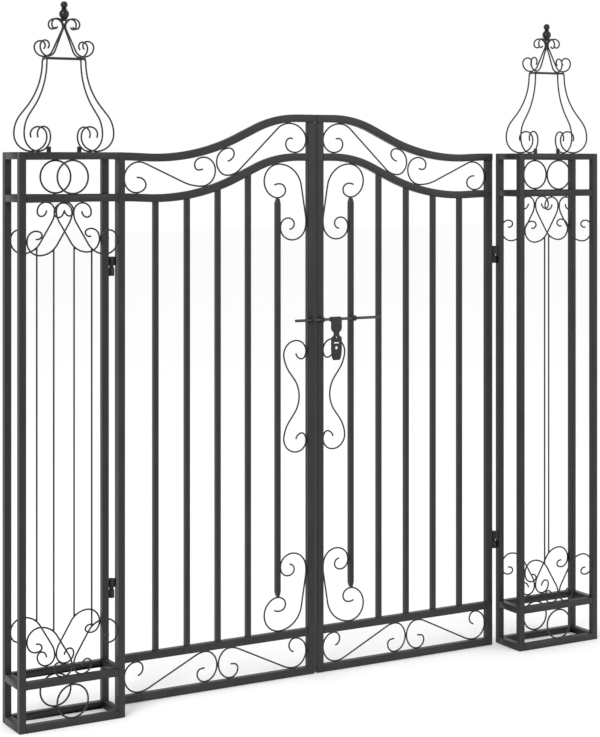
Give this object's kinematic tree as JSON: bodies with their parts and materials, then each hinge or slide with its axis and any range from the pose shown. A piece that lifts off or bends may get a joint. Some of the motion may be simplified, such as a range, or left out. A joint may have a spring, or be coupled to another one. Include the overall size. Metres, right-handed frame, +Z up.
{
  "type": "double driveway gate",
  "caption": "Arched double-leaf wrought steel driveway gate with scrollwork, between two open-work pillars with scrolled crowns and ball finials.",
  "frame": {"origin": "centre of the foot of the left pillar's inner back post, on its bottom face", "axes": "+X along the gate towards the right pillar, +Y towards the back, where the leaves open to, +Z up"},
  "size_m": [2.5, 0.166, 2.507],
  "materials": {
    "iron": "satin"
  },
  "bodies": {
    "pillars": {"left_posts": "iron", "left_rails": "iron", "left_rings": "iron", "left_scrolls": "iron", "left_rods": "iron", "left_crown_legs": "iron", "left_crown_frame": "iron", "left_crown_scrolls": "iron", "left_crown_seat": "iron", "left_finial": "iron", "left_hinge_pins": "iron", "right_posts": "iron", "right_rails": "iron", "right_rings": "iron", "right_scrolls": "iron", "right_rods": "iron", "right_crown_legs": "iron", "right_crown_frame": "iron", "right_crown_scrolls": "iron", "right_crown_seat": "iron", "right_finial": "iron", "right_hinge_pins": "iron"},
    "left_leaf": {"left_stiles": "iron", "left_top_rail": "iron", "left_arch_rail": "iron", "left_lower_rails": "iron", "left_bars": "iron", "left_arch_scrolls": "iron", "left_centre_scrolls": "iron", "left_foot_scrolls": "iron", "left_knuckles": "iron", "left_keeper": "iron"},
    "right_leaf": {"right_stiles": "iron", "right_top_rail": "iron", "right_arch_rail": "iron", "right_lower_rails": "iron", "right_bars": "iron", "right_arch_scrolls": "iron", "right_centre_scrolls": "iron", "right_foot_scrolls": "iron", "right_knuckles": "iron", "right_keepers": "iron"},
    "slide_bolt": {"slide_bolt": "iron"},
    "hasp": {"hasp": "iron"}
  },
  "joints": [
    {"name": "left_leaf_swing", "type": "hinge", "parent": "pillars", "child": "left_leaf", "pos_m": [0.0285, 0.004, 0.422], "axis": [0, 0, 1], "range_deg": [0, 90]},
    {"name": "right_leaf_swing", "type": "hinge", "parent": "pillars", "child": "right_leaf", "pos_m": [1.7105, 0.004, 0.422], "axis": [0, 0, -1], "range_deg": [0, 90]},
    {"name": "bolt_slide", "type": "slide", "parent": "right_leaf", "child": "slide_bolt", "axis": [1, 0, 0], "range_m": [0, 0.11]},
    {"name": "hasp_swing", "type": "hinge", "parent": "right_leaf", "child": "hasp", "pos_m": [0.947, -0.0255, 1.346], "axis": [-1, 0, 0], "range_deg": [0, 100]}
  ]
}
